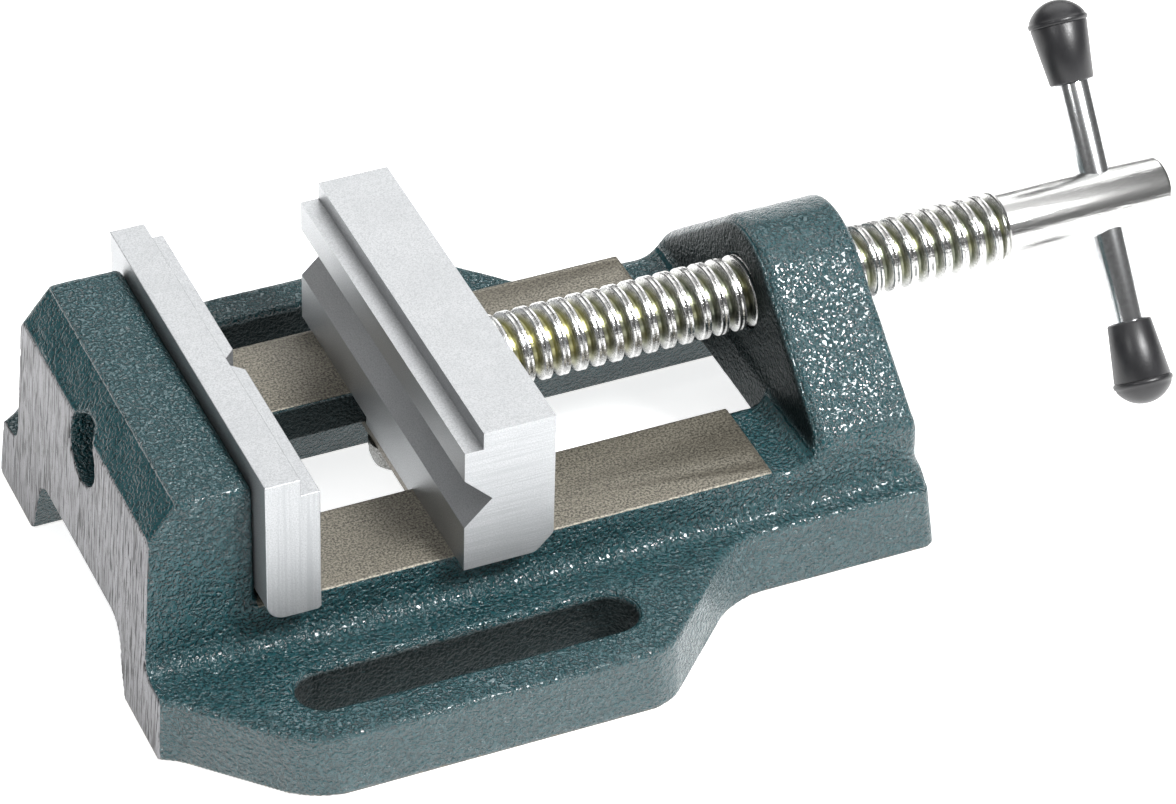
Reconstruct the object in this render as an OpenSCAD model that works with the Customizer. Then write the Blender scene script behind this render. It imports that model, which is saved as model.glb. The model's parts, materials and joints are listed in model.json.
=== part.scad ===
// Machine vise for a drill press table: a one-piece cast base with two slideways and a
// nut bracket, a fixed jaw, a moving jaw on a trapezoidal spindle, and a sliding T-bar.
// +X runs from the fixed jaw to the handle, +Z is up, and the origin lies on the
// underside, midway between the two clamping slots.

/* [Base casting] */
// Length of the base along the spindle
base_l = 173.5; // [172:0.5:180]
// Width over the two flanges
flange_w = 144.4; // [140:0.2:150]
// Thickness of the flanges
flange_t = 14.5; // [12:0.5:15]
// Width across the flanges beside the nut bracket
narrow_w = 94.8; // [92:0.2:100]
// Width across the flanges at the left end face
end_w = 94.8; // [92:0.2:100]
// Height of the ground slideways above the underside
rail_z = 25; // [24:0.5:26]
// Width over the two slideways
body_w = 80; // [78:1:84]
// Width of the window between the slideways
window_w = 34; // [32:1:36]
// Thickness of the slideways above the underside channel
rail_t = 9; // [8:0.5:9.5]
// Width of the underside channel at its mouth
channel_w = 57; // [54:1:60]
// Width of the underside channel at its ceiling
ceiling_w = 47; // [46:0.5:50]
// Height by which the ground slideways stand over the raw casting
pad_h = 1.6; // [0.5:0.1:2]

/* [Clamping slots] */
// Distance between the centre lines of the two slots
slot_pitch = 112.8; // [110:0.2:116]
// Width of each slot
slot_w = 12; // [11:0.5:14]
// End-to-end length of each slot
slot_l = 73.5; // [60:0.5:76]

/* [Jaws] */
// Width of both jaws
jaw_w = 90; // [86:1:96]
// Height of the jaws over the slideways
jaw_h = 34; // [32:0.5:36]
// Distance between the clamping faces as drawn
opening = 30.5; // [10:0.5:60]
// Thickness of the fixed jaw plate
fixed_t = 11.5; // [10:0.5:14]
// Thickness of the moving jaw
moving_t = 19.5; // [18:0.5:22]
// Width and depth of the ledge along the top of each clamping face
ledge = 4; // [2:0.5:5]
// Width of the upright vee in the fixed jaw
upright_vee = 7; // [5:0.5:9]
// Width of the level vee in the moving jaw
level_vee = 12; // [8:0.5:12]
// Height of the level vee's centre line over the slideways
level_vee_z = 17; // [16:0.5:18]

/* [Spindle] */
// Outside diameter of the trapezoidal thread
thread_d = 16; // [14:1:16]
// Pitch of the thread
pitch = 4; // [3:1:4]
// Height of the spindle's axis above the underside
spindle_z = 40.5; // [40:0.5:42]
// Diameter of the plain head that holds the T-bar
head_d = 14.2; // [13:0.1:15]
// Length of the plain head
head_l = 39.4; // [36:0.2:44]

/* [T-bar] */
// Diameter of the T-bar
bar_d = 7.5; // [6:0.5:8]
// Length of the T-bar without its caps
bar_l = 82; // [76:1:100]
// Lean of the T-bar from level, as drawn
bar_lean = 50.8; // [0:0.1:90]

/* [Hidden] */
$fn = 96;
eps = 0.5;
fit = 0.05;

// the left end face, counted from the origin at the middle of the slots
slot_from_end = 63.5;

// flange outline, in distances from the left end face
end_corner = (flange_w - end_w) / 2;
wide_end = 101.5;
narrow_start = wide_end + (flange_w - narrow_w) / 2;
left_corner_r = 8;
right_corner_r = 5;
end_corner_r = 2;
side_fillet = 4.5;

// jaw block, window and bracket
seat_x = 25.1;
block_w = 78;
block_top = 54.8;
chamfer_z = 46.8;
end_lean = 3;
chamfer_x = 9.4;
window_start = 34;
window_end = 147.5;
pad_end = 138;
bracket_x = 148;
bracket_end = 171.5;
bracket_fillet = 6;
foot_z = 28;
dome_r = 16.2;
deck_z = rail_z - pad_h;
rail_under = rail_z - rail_t;
channel_r = 4;
end_hole_r = 7.9;
end_hole_z = 41.5;

// jaw plates
fixed_face = seat_x + fixed_t;
moving_face = fixed_face + opening;
moving_back = moving_face + moving_t;
jaw_top = rail_z + jaw_h;
corner_relief = 4;

// fixed jaw screws: M8 countersunk
fixed_screw_y = 26;
fixed_screw_z = 40;
m8_r = 4;
m8_head_r = 7.9;
m8_socket = 5;
fixed_screw_end = 11;

// tongue, keeper plate and its bolts: M6 hexagon head
tongue_x = 3.4;
tongue_gap = 0.3;
keeper_gap = 0.25;
keeper_t = 2;
keeper_w = 42;
keeper_bolt_x = moving_face + 8.6;
keeper_bolt_y = 13;
m6_r = 3;
m6_head = 4;
m6_flats = 10;
m6_l = 20;
lock_washer_t = 1.6;
lock_washer_r = 5.9;
keeper_top = rail_under - keeper_gap;
keeper_under = keeper_top - keeper_t;

// spindle nose, held in the moving jaw by two pins
nose_r = 5.5;
nose_l = 9.8;
groove_r = 3.75;
groove_w = 4.4;
pin_r = 2;
pin_l = 32;
pin_x = moving_back - 5;
pin_y = groove_r + pin_r + fit;
thrust_r = 10;
thrust_t = 2;
shoulder_x = moving_back + thrust_t + 2 * fit;
thread_end = 208.7;
head_end = thread_end + head_l;
thread_depth = pitch / 2 + 0.25;
thread_crest = 0.366 * pitch;
thread_flank = thread_depth * tan(15);
thread_turns = floor((thread_end - shoulder_x) / pitch);
run_out = thread_end - shoulder_x - thread_turns * pitch;
head_chamfer = 1;

// T-bar, its caps and its friction ball
bar_x = 233.6;
cap_inner = 26.4;
cap_wide = 40.4;
cap_tip = 44.5;
cap_r0 = 4.85;
cap_r1 = 6.35;
cap_lip = 0.25;
cap_wall_end = bar_l / 2;
ball_r = 2.4;
ball_bore_r = 2.5;
ball_x = bar_x + bar_d / 2 + ball_r + fit;
grub_l = 3;
grub_socket = 2.5;
grub_out = head_end - 0.5;
spring_wire = 0.5;
spring_r = 1.8;
spring_turns = 3;

// ---- outlines with true arcs at their corners ----

function unit(v) = v / norm(v);
function prev(pts, i) = pts[(i + len(pts) - 1) % len(pts)];
function next(pts, i) = pts[(i + 1) % len(pts)];
function turn(pts, i) = cross(pts[i] - prev(pts, i), next(pts, i) - pts[i]);
function half_angle(pts, i) =
    acos(unit(prev(pts, i) - pts[i]) * unit(next(pts, i) - pts[i])) / 2;
function corner_cut(pts, i, r) = r / tan(half_angle(pts, i));
function corner_centre(pts, i, r) =
    pts[i] + unit(unit(prev(pts, i) - pts[i]) + unit(next(pts, i) - pts[i]))
    * r / sin(half_angle(pts, i));

// An outline given anticlockwise, each corner rounded to its own radius, 0 for a sharp one
module rounded_outline(pts, radii) {
    difference() {
        union() {
            polygon([for (i = [0 : len(pts) - 1]) each
                radii[i] == 0 ? [pts[i]] : [
                    pts[i] + unit(prev(pts, i) - pts[i]) * corner_cut(pts, i, radii[i]),
                    pts[i] + unit(next(pts, i) - pts[i]) * corner_cut(pts, i, radii[i])
                ]]);
            for (i = [0 : len(pts) - 1])
                if (radii[i] > 0 && turn(pts, i) > 0)
                    translate(corner_centre(pts, i, radii[i])) circle(radii[i]);
        }
        for (i = [0 : len(pts) - 1])
            if (radii[i] > 0 && turn(pts, i) < 0)
                translate(corner_centre(pts, i, radii[i])) circle(radii[i]);
    }
}

// ---- placing ----

// From distances counted from the left end face to the part's own frame
module from_end() {
    translate([-slot_from_end, 0, 0]) children();
}

// Extrudes a (y, z) outline along +X from x0
module along_x(x0, length) {
    translate([x0, 0, 0]) rotate([90, 0, 90]) linear_extrude(length) children();
}

// Extrudes an (x, z) outline across the part, centred on y = 0
module across_y(width) {
    translate([0, width / 2, 0]) rotate([90, 0, 0]) linear_extrude(width) children();
}

// A round bar along +X
module round_x(x0, x1, r) {
    translate([x0, 0, 0]) rotate([0, 90, 0]) cylinder(h = x1 - x0, r = r);
}

// Turns a shape drawn along +Z so that it lies along the T-bar
module along_bar() {
    translate([bar_x, 0, spindle_z]) rotate([bar_lean - 90, 0, 0]) children();
}

// ---- base casting ----

module flange_outline() {
    half = flange_w / 2;
    narrow = narrow_w / 2;
    end_half = end_w / 2;
    rounded_outline(
        [
            [0, -end_half],
            [end_corner, -half],
            [wide_end, -half],
            [narrow_start, -narrow],
            [base_l, -narrow],
            [base_l, narrow],
            [narrow_start, narrow],
            [wide_end, half],
            [end_corner, half],
            [0, end_half]
        ],
        [
            0, left_corner_r, right_corner_r, right_corner_r, end_corner_r,
            end_corner_r, right_corner_r, right_corner_r, left_corner_r, 0
        ]
    );
}

module jaw_block() {
    across_y(block_w) polygon([
        [0, 0],
        [end_lean, chamfer_z],
        [chamfer_x, block_top],
        [seat_x, block_top],
        [seat_x, 0]
    ]);
}

// Where a flank through the foot's corner touches the dome round the spindle
function dome_touch() =
    let (
        to_centre = [-body_w / 2, spindle_z - foot_z],
        reach = norm(to_centre),
        heading = atan2(to_centre[1], to_centre[0]) - asin(dome_r / reach)
    )
    [body_w / 2, foot_z]
    + sqrt(reach * reach - dome_r * dome_r) * [cos(heading), sin(heading)];

module nut_bracket() {
    touch = dome_touch();
    along_x(bracket_x, bracket_end - bracket_x) {
        polygon([
            [-body_w / 2, 0],
            [body_w / 2, 0],
            [body_w / 2, foot_z],
            touch,
            [0, spindle_z],
            [-touch[0], touch[1]],
            [-body_w / 2, foot_z]
        ]);
        translate([0, spindle_z]) circle(dome_r);
    }
}

// Inside corner between the raw deck and the bracket's inner face
module deck_fillet() {
    r = bracket_fillet;
    across_y(body_w) difference() {
        translate([bracket_x - r, deck_z - eps]) square([r, r + eps]);
        translate([bracket_x - r, deck_z + r]) circle(r);
    }
}

// Inside corner along each side, where an upright wall meets the flange
module side_fillets(x0, x1, wall_w) {
    r = side_fillet;
    for (side = [-1, 1])
        along_x(x0, x1 - x0) difference() {
            translate([side * (wall_w / 2 + r / 2), flange_t + r / 2])
                square(r, center = true);
            translate([side * (wall_w / 2 + r), flange_t + r]) circle(r);
        }
}

module clamping_slot() {
    end_x = slot_l / 2 - slot_w / 2;
    translate([slot_from_end, 0, -eps]) {
        for (end = [-1, 1])
            translate([end * end_x, 0, 0]) cylinder(h = flange_t + 2 * eps, d = slot_w);
        translate([-end_x, -slot_w / 2, 0])
            cube([2 * end_x, slot_w, flange_t + 2 * eps]);
    }
}

module underside_channel() {
    mouth = channel_w / 2;
    ceiling = ceiling_w / 2;
    along_x(-eps, base_l + 2 * eps) {
        rounded_outline(
            [[-mouth, 0], [mouth, 0], [ceiling, rail_under], [-ceiling, rail_under]],
            [0, 0, channel_r, channel_r]
        );
        translate([0, -eps / 2]) square([2 * mouth, eps + fit], center = true);
    }
}

module base_casting() {
    color([0.13, 0.22, 0.24]) from_end() difference() {
        union() {
            linear_extrude(flange_t) flange_outline();
            translate([seat_x - eps, -body_w / 2, 0])
                cube([bracket_end - seat_x + eps, body_w, deck_z]);
            translate([seat_x - eps, -body_w / 2, deck_z - eps])
                cube([pad_end - seat_x + eps, body_w, pad_h + eps]);
            jaw_block();
            nut_bracket();
            deck_fillet();
            side_fillets(0, seat_x, block_w);
            side_fillets(seat_x - eps, bracket_end, body_w);
        }
        underside_channel();
        translate([window_start, -window_w / 2, 0])
            cube([window_end - window_start, window_w, block_top]);
        for (side = [-1, 1])
            translate([0, side * slot_pitch / 2, 0]) clamping_slot();
        translate([0, 0, end_hole_z]) round_x(-eps, seat_x + eps, end_hole_r);
        translate([0, 0, spindle_z])
            round_x(window_end - eps, base_l + eps, thread_d / 2 + fit);
        for (side = [-1, 1])
            translate([0, side * fixed_screw_y, fixed_screw_z])
                round_x(fixed_screw_end - 1, seat_x + eps, m8_r);
        // the end face is milled flat, leaning a little towards the jaw
        across_y(flange_w) polygon([
            [-eps, -eps],
            [0, 0],
            [end_lean, chamfer_z],
            [-eps, chamfer_z]
        ]);
    }
}

// ---- fixed jaw ----

module fixed_jaw() {
    color([0.80, 0.81, 0.82]) from_end() difference() {
        across_y(jaw_w) rounded_outline(
            [
                [seat_x, rail_z],
                [fixed_face, rail_z],
                [fixed_face, jaw_top - ledge],
                [fixed_face - ledge, jaw_top - ledge],
                [fixed_face - ledge, jaw_top],
                [seat_x, jaw_top]
            ],
            [corner_relief, 1, 0, 0, 0, 0]
        );
        translate([fixed_face, 0, rail_z - eps])
            rotate([0, 0, 45])
                translate([-upright_vee / sqrt(8), -upright_vee / sqrt(8), 0])
                    cube([upright_vee / sqrt(2), upright_vee / sqrt(2), jaw_h + 2 * eps]);
        for (side = [-1, 1])
            translate([0, side * fixed_screw_y, fixed_screw_z]) {
                round_x(seat_x - eps, fixed_face + eps, m8_r + 0.2);
                countersink(m8_head_r);
            }
    }
}

// A ninety-degree cone with a short plain mouth, opening on the fixed jaw's face
module countersink(r) {
    mouth = 0.8;
    translate([fixed_face - mouth - r, 0, 0]) rotate([0, 90, 0]) cylinder(h = r, r1 = 0, r2 = r);
    round_x(fixed_face - mouth, fixed_face + eps, r);
}

module fixed_jaw_screw(side) {
    head_face = fixed_face - 0.8;
    color([0.30, 0.30, 0.31]) from_end()
        translate([0, side * fixed_screw_y, fixed_screw_z]) difference() {
            union() {
                round_x(fixed_screw_end, head_face - m8_head_r + m8_r, m8_r);
                translate([head_face - m8_head_r, 0, 0]) rotate([0, 90, 0]) intersection() {
                    cylinder(h = m8_head_r, r1 = 0, r2 = m8_head_r);
                    translate([0, 0, m8_r]) cylinder(h = m8_head_r, r = m8_head_r);
                }
            }
            translate([head_face - 3, 0, 0]) rotate([0, 90, 0])
                cylinder(h = 3 + eps, d = m8_socket / cos(30), $fn = 6);
        }
}

module fixed_jaw_screw_front() { fixed_jaw_screw(-1); }
module fixed_jaw_screw_back() { fixed_jaw_screw(1); }

// ---- moving jaw and what holds it down ----

module moving_jaw() {
    vee = level_vee / sqrt(2);
    color([0.82, 0.83, 0.84]) from_end() difference() {
        union() {
            across_y(jaw_w) rounded_outline(
                [
                    [moving_face, rail_z],
                    [moving_back - 4, rail_z],
                    [moving_back, rail_z + 4],
                    [moving_back, jaw_top],
                    [moving_face + ledge, jaw_top],
                    [moving_face + ledge, jaw_top - ledge],
                    [moving_face, jaw_top - ledge]
                ],
                [0, 2, 2, 0, 0, 0, 0]
            );
            translate([moving_face + tongue_x, tongue_gap - window_w / 2, keeper_top])
                cube([moving_t - tongue_x, window_w - 2 * tongue_gap, rail_z + 5 - keeper_top]);
        }
        across_y(jaw_w + 2 * eps)
            translate([moving_face, rail_z + level_vee_z]) rotate(45)
                square(vee, center = true);
        translate([0, 0, spindle_z])
            round_x(moving_back - nose_l - 0.3, moving_back + eps, nose_r + fit);
        for (side = [-1, 1]) {
            translate([pin_x, side * pin_y, keeper_top - eps])
                cylinder(h = pin_l + eps, r = pin_r);
            translate([keeper_bolt_x, side * keeper_bolt_y, keeper_top - eps])
                cylinder(h = m6_l + eps, r = m6_r);
        }
    }
}

module keeper_plate() {
    color([0.42, 0.38, 0.33]) from_end() difference() {
        translate([moving_face + tongue_x, -keeper_w / 2, keeper_under])
            cube([moving_t - tongue_x, keeper_w, keeper_t]);
        for (side = [-1, 1])
            translate([keeper_bolt_x, side * keeper_bolt_y, keeper_under - eps])
                cylinder(h = keeper_t + 2 * eps, r = m6_r + 0.3);
    }
}

module keeper_bolt(side) {
    head_top = keeper_under - lock_washer_t;
    bearing_r = m6_flats / 2 - 0.2;
    color([0.75, 0.75, 0.74]) from_end()
        translate([keeper_bolt_x, side * keeper_bolt_y, 0]) {
            translate([0, 0, head_top - m6_head]) intersection() {
                rotate(30) cylinder(h = m6_head, d = m6_flats / cos(30), $fn = 6);
                cylinder(h = m6_head, r1 = bearing_r, r2 = bearing_r + m6_head);
            }
            translate([0, 0, head_top - 1]) cylinder(h = m6_l + 1, r = m6_r);
        }
}

module keeper_bolt_front() { keeper_bolt(-1); }
module keeper_bolt_back() { keeper_bolt(1); }

// A split spring washer
module lock_washer(side) {
    color([0.55, 0.55, 0.54]) from_end()
        translate([keeper_bolt_x, side * keeper_bolt_y, keeper_under - lock_washer_t])
            difference() {
                cylinder(h = lock_washer_t, r = lock_washer_r);
                translate([0, 0, -eps]) cylinder(h = lock_washer_t + 2 * eps, r = m6_r + 0.1);
                rotate(side * 60) translate([m6_r - eps, -0.4, -eps])
                    cube([lock_washer_r, 0.8, lock_washer_t + 2 * eps]);
            }
}

module lock_washer_front() { lock_washer(-1); }
module lock_washer_back() { lock_washer(1); }

module retaining_pin(side) {
    bevel = 0.4;
    color([0.62, 0.62, 0.63]) from_end()
        translate([pin_x, side * pin_y, keeper_top]) {
            cylinder(h = bevel, r1 = pin_r - bevel, r2 = pin_r);
            translate([0, 0, bevel]) cylinder(h = pin_l - 2 * bevel, r = pin_r);
            translate([0, 0, pin_l - bevel]) cylinder(h = bevel, r1 = pin_r, r2 = pin_r - bevel);
        }
}

module retaining_pin_front() { retaining_pin(-1); }
module retaining_pin_back() { retaining_pin(1); }

module thrust_washer() {
    color([0.60, 0.60, 0.60]) from_end() translate([0, 0, spindle_z]) difference() {
        round_x(moving_back + fit, moving_back + fit + thrust_t, thrust_r);
        round_x(moving_back - eps, moving_back + thrust_t + eps, nose_r + 0.2);
    }
}

// ---- spindle ----

// (radius, distance) corners of one turn of the thread, cut as a ring of the thread's form
function thread_ring(x) = [
    [thread_d / 2, x],
    [thread_d / 2, x + thread_crest],
    [thread_d / 2 - thread_depth, x + thread_crest + thread_flank],
    [thread_d / 2 - thread_depth, x + pitch - thread_flank]
];

module spindle_outline() {
    polygon(concat(
        [
            [0, moving_back - nose_l],
            [nose_r - 0.5, moving_back - nose_l],
            [nose_r, moving_back - nose_l + 0.5],
            [nose_r, pin_x - groove_w / 2],
            [groove_r, pin_x - groove_w / 2],
            [groove_r, pin_x + groove_w / 2],
            [nose_r, pin_x + groove_w / 2],
            [nose_r, shoulder_x],
            [thread_d / 2 - thread_depth, shoulder_x]
        ],
        [for (i = [0 : thread_turns - 1]) each thread_ring(shoulder_x + run_out + i * pitch)],
        [
            [thread_d / 2 - thread_depth, thread_end],
            [head_d / 2, thread_end],
            [head_d / 2, head_end - head_chamfer],
            [head_d / 2 - head_chamfer, head_end],
            [0, head_end]
        ]
    ));
}

module spindle() {
    color([0.78, 0.79, 0.76]) from_end() difference() {
        translate([0, 0, spindle_z]) rotate([0, 90, 0]) rotate_extrude() spindle_outline();
        along_bar() translate([0, 0, -head_d])
            cylinder(h = 2 * head_d, r = bar_d / 2 + fit);
        translate([0, 0, spindle_z]) round_x(bar_x, head_end + eps, ball_bore_r);
    }
}

module friction_ball() {
    color([0.70, 0.70, 0.70]) from_end() translate([ball_x, 0, spindle_z]) sphere(ball_r);
}

// Closed rings in place of the coils
module friction_spring() {
    start = ball_x + ball_r * 0.72 + spring_wire;
    gap = (grub_out - grub_l - spring_wire - start) / (spring_turns - 1);
    color([0.55, 0.55, 0.55]) from_end()
        for (i = [0 : spring_turns - 1])
            translate([start + i * gap, 0, spindle_z]) rotate([0, 90, 0])
                rotate_extrude() translate([spring_r, 0]) circle(spring_wire / 2, $fn = 24);
}

module spindle_grub_screw() {
    color([0.25, 0.25, 0.26]) from_end() translate([0, 0, spindle_z]) difference() {
        round_x(grub_out - grub_l, grub_out, ball_bore_r);
        translate([grub_out - 2, 0, 0]) rotate([0, 90, 0])
            cylinder(h = 2 + eps, d = grub_socket / cos(30), $fn = 6);
    }
}

// ---- T-bar ----

module tbar() {
    bevel = 0.6;
    color([0.80, 0.81, 0.82]) from_end() along_bar() rotate_extrude() polygon([
        [0, -bar_l / 2],
        [bar_d / 2 - bevel, -bar_l / 2],
        [bar_d / 2, -bar_l / 2 + bevel],
        [bar_d / 2, bar_l / 2 - bevel],
        [bar_d / 2 - bevel, bar_l / 2],
        [0, bar_l / 2]
    ]);
}

// A tapered cap that is pushed over the end of the bar
module tbar_cap(end) {
    dome_h = cap_tip - cap_wide;
    dome_r0 = (cap_r1 * cap_r1 + dome_h * dome_h) / (2 * dome_h);
    color([0.05, 0.05, 0.05]) from_end() along_bar() rotate([end > 0 ? 0 : 180, 0, 0])
        difference() {
            union() {
                translate([0, 0, cap_inner])
                    cylinder(h = cap_wide - cap_inner, r1 = cap_r0, r2 = cap_r1);
                translate([0, 0, cap_wide - 1.2])
                    cylinder(h = 1.2, r = cap_r1 + cap_lip);
                intersection() {
                    translate([0, 0, cap_tip - dome_r0]) sphere(dome_r0);
                    translate([0, 0, cap_wide]) cylinder(h = dome_h, r = cap_r1);
                }
            }
            translate([0, 0, cap_inner - eps])
                cylinder(h = cap_wall_end - cap_inner + eps, r = bar_d / 2);
        }
}

module tbar_cap_upper() { tbar_cap(1); }
module tbar_cap_lower() { tbar_cap(-1); }

base_casting();
fixed_jaw();
fixed_jaw_screw_front();
fixed_jaw_screw_back();
moving_jaw();
keeper_plate();
keeper_bolt_front();
keeper_bolt_back();
lock_washer_front();
lock_washer_back();
retaining_pin_front();
retaining_pin_back();
thrust_washer();
spindle();
friction_ball();
friction_spring();
spindle_grub_screw();
tbar();
tbar_cap_upper();
tbar_cap_lower();
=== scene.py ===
"""Looks of the machine vise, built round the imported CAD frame.

Lengths in the shape code are millimetres. The casting's own x counts from its left end
face, y is the distance from the spindle's plane and z is the height over the underside.
"""

import json
import math

import bmesh
import bpy
import numpy as np
from mathutils import Matrix, Vector, noise


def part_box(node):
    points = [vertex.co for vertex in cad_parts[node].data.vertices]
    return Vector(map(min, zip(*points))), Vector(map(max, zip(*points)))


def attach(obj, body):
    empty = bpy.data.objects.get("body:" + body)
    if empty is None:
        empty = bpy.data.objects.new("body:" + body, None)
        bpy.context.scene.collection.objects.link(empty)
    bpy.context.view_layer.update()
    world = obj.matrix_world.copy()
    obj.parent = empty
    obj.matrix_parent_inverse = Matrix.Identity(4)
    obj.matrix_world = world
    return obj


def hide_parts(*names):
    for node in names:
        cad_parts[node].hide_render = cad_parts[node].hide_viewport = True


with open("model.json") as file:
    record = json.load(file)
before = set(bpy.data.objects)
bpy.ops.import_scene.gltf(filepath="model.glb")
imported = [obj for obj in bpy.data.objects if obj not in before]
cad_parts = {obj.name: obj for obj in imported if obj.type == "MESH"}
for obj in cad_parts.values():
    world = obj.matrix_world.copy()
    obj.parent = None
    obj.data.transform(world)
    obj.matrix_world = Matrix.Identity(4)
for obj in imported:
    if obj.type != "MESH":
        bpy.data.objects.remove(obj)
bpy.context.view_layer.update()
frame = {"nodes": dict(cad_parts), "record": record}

MM = 0.001

# ---- places, all from the frame ----

CAST_LO, CAST_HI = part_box("base_casting")
END_X = CAST_LO.x / MM
BASE_L = (CAST_HI.x - CAST_LO.x) / MM
FLANGE_HALF = CAST_HI.y / MM
FIXED_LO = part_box("fixed_jaw")[0]
MOVING_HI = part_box("moving_jaw")[1]
RAIL_Z = FIXED_LO.z / MM
SEAT_X = FIXED_LO.x / MM - END_X
SPINDLE_LO, SPINDLE_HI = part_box("spindle")
SPINDLE_Z = (SPINDLE_LO.z + SPINDLE_HI.z) / 2 / MM
THREAD_R = (SPINDLE_HI.z - SPINDLE_LO.z) / 2 / MM
MOVING_BACK = MOVING_HI.x / MM - END_X
HEAD_END = SPINDLE_HI.x / MM - END_X


# ---- small mesh tools ----

def add_mesh(name, verts, faces, body, material):
    """A new piece from millimetre points, riding on a body."""
    mesh = bpy.data.meshes.new(name)
    mesh.from_pydata([tuple(v) for v in verts], [], faces)
    return finish_piece(name, mesh, body, material, MM)


def finish_piece(name, mesh, body, material, scale=1.0):
    """Links a mesh as a piece, in metres, and gives it its body, slot and material."""
    if scale != 1.0:
        mesh.transform(Matrix.Scale(scale, 4))
    mesh.materials.clear()
    mesh.materials.append(material)
    mesh.shade_smooth()
    mesh.update()
    piece = bpy.data.objects.new(name, mesh)
    bpy.context.scene.collection.objects.link(piece)
    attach(piece, body)
    return piece


def apply_modifiers(piece):
    """Turns a piece's modifiers into plain mesh."""
    depsgraph = bpy.context.evaluated_depsgraph_get()
    done = bpy.data.meshes.new_from_object(piece.evaluated_get(depsgraph), depsgraph=depsgraph)
    piece.modifiers.clear()
    piece.data = done


# ---- the casting, as a distance field ----

# half widths are across y, and drafts are millimetres per millimetre of height
FLANGE_T = 14.5
END_HALF = 47.4
NARROW_HALF = 47.4
TAPER_SUM = 173.7
SIDE_DRAFT = 0.062
NARROW_DRAFT = 0.145
END_DRAFT = 0.08
BODY_HALF = 40.0
DECK_Z = 23.4
PAD_END = 138.0
BLOCK_HALF = 38.9
BLOCK_TOP = 54.8
# the sloping top corner, as two (x, z) points
CHAMFER = ((3.0, 46.8), (9.4, 54.8))
BRACKET_X = 148.2
BRACKET_END = 171.5
BRACKET_DRAFT = 0.032
FOOT_Z = 28.0
DOME_R = 16.2
# window: start, stop, half width; channel: half width, draft, ceiling, corner radius
WINDOW = (34.0, 147.5, 17.0)
CHANNEL = (28.5, 0.3125, 16.0, 4.0)
SLOT_MID_X = -END_X
SLOT_Y = 56.4
SLOT_R = 6.0
SLOT_REACH = 36.75 - SLOT_R
# the cored hole in the end face: height, radius
END_HOLE = (41.5, 7.5)
BORE_R = THREAD_R + 0.1
SCREW_Y, SCREW_Z, SCREW_R = 26.0, 40.0, 4.0
WALL_FILLET = 4.5
BRACKET_FILLET = 6.0
END_LEAN = 3.0 / 46.8
# height in millimetres and waves per millimetre, on raw skin and inside the cored hole
CAST_WAVES = ((0.10, 0.16), (0.05, 0.45))
HOLE_WAVE = (0.18, 0.6)
NET_STEP = 0.6
FACES_KEPT = 0.30


def edge(a, b, r):
    """What lies inside both a and b, with the convex edge between them rounded to r."""
    return np.minimum(-r, np.maximum(a, b)) + np.hypot(np.maximum(r + a, 0), np.maximum(r + b, 0))


def join(a, b, r):
    """What lies inside a or b, with the inside corner between them filleted to r."""
    return np.maximum(r, np.minimum(a, b)) - np.hypot(np.maximum(r - a, 0), np.maximum(r - b, 0))


def slope(u, v, start, end):
    """Signed distance from the line through two points, positive to its left."""
    du, dv = end[0] - start[0], end[1] - start[1]
    return ((v - start[1]) * du - (u - start[0]) * dv) / math.hypot(du, dv)


def flange(x, side, z):
    """The drafted foot plate: wide at the slots, tapering to the bracket."""
    draft = SIDE_DRAFT * z
    outline = side - FLANGE_HALF + draft
    outline = edge(outline, (side - x - END_HALF) / math.sqrt(2) + draft, 5.0)
    outline = edge(outline, (side + x - TAPER_SUM) / math.sqrt(2) + draft, 3.0)
    outline = join(outline, side - NARROW_HALF + NARROW_DRAFT * z, 5.0)
    outline = edge(outline, x - BASE_L + END_DRAFT * z, 2.5)
    return edge(outline, z - FLANGE_T, 1.3)


def bracket_profile(side, z):
    """The dome round the spindle, with straight flanks down to the foot."""
    reach = math.hypot(BODY_HALF, SPINDLE_Z - FOOT_Z)
    heading = math.atan2(SPINDLE_Z - FOOT_Z, -BODY_HALF) - math.asin(DOME_R / reach)
    run = math.sqrt(reach**2 - DOME_R**2)
    along = (math.cos(heading), math.sin(heading))
    past_touch = (side - BODY_HALF) * along[0] + (z - FOOT_Z) * along[1] - run
    foot = (BODY_HALF, FOOT_Z)
    flank = slope(side, z, (foot[0] + along[0], foot[1] + along[1]), foot)
    return np.where(past_touch > 0, np.hypot(side, z - SPINDLE_Z) - DOME_R, flank)


def body(x, side, z):
    """Deck, slideway pad and nut bracket."""
    wall = side - BODY_HALF
    back = x - BRACKET_END + BRACKET_DRAFT * (z - FOOT_Z)
    bracket = edge(edge(BRACKET_X - x, bracket_profile(side, z), 2.6), back, 2.2)
    raw = edge(join(z - DECK_Z, bracket, BRACKET_FILLET), edge(wall, back, 2.5), 2.0)
    pad = edge(edge(z - RAIL_Z, x - PAD_END, 0.3), wall, 0.5)
    return edge(np.minimum(raw, pad), SEAT_X - 3 - x, 1.0)


def jaw_block(x, side, z):
    """The chamfered block that backs the fixed jaw."""
    top = edge(slope(x, z, *CHAMFER), z - BLOCK_TOP, 0.45)
    top = edge(top, x - SEAT_X, 2.2)
    return edge(top, side - BLOCK_HALF - 0.01 * (FLANGE_T - z), 1.7)


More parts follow.
